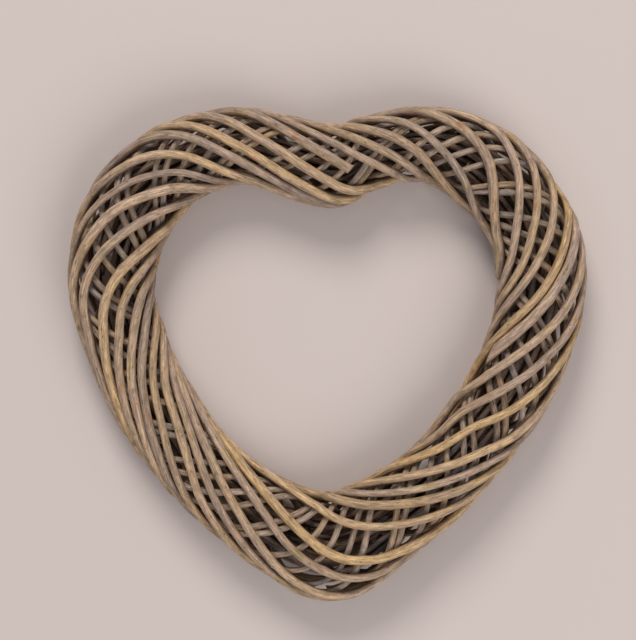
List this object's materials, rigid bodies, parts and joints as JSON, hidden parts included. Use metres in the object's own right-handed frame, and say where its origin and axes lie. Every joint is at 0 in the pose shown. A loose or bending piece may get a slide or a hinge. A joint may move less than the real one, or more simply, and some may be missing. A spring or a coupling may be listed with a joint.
{
  "type": "heart-shaped willow wreath",
  "caption": "Heart-shaped decorative wreath wound from willow rods: thick rods spiral round a bundle of thinner ones, open in the middle.",
  "frame": {"origin": "middle of the wreath's outline, on the surface that it lies on", "axes": "+X to the right of the heart and +Y up the heart towards the notch, both seen from the front; +Z out of the front face"},
  "size_m": [0.5018, 0.4784, 0.072],
  "materials": {
    "bark_tan": "dry willow bark, light tan",
    "bark_grey": "dry willow bark, weathered grey-brown",
    "bark_ochre": "dry willow bark, ochre",
    "cross_bark": "dry willow bark, grey-brown",
    "core_bark": "dry willow bark, dark grey"
  },
  "bodies": {
    "root": {"outer_rod_01": "bark_tan", "outer_rod_02": "bark_grey", "outer_rod_03": "bark_ochre", "outer_rod_04": "bark_tan", "outer_rod_05": "bark_grey", "outer_rod_06": "bark_ochre", "outer_rod_07": "bark_tan", "outer_rod_08": "bark_grey", "outer_rod_09": "bark_ochre", "outer_rod_10": "bark_tan", "outer_rod_11": "bark_grey", "outer_rod_12": "bark_ochre", "outer_rod_13": "bark_tan", "outer_rod_14": "bark_grey", "cross_rod_01": "cross_bark", "cross_rod_02": "cross_bark", "cross_rod_03": "cross_bark", "cross_rod_04": "cross_bark", "cross_rod_05": "cross_bark", "cross_rod_06": "cross_bark", "cross_rod_07": "cross_bark", "cross_rod_08": "cross_bark", "core_rod_01": "core_bark", "core_rod_02": "core_bark", "core_rod_03": "core_bark", "core_rod_04": "core_bark", "core_rod_05": "core_bark", "core_rod_06": "core_bark", "core_rod_07": "core_bark", "core_rod_08": "core_bark", "core_rod_09": "core_bark", "core_rod_10": "core_bark", "core_rod_11": "core_bark"}
  },
  "joints": []
}
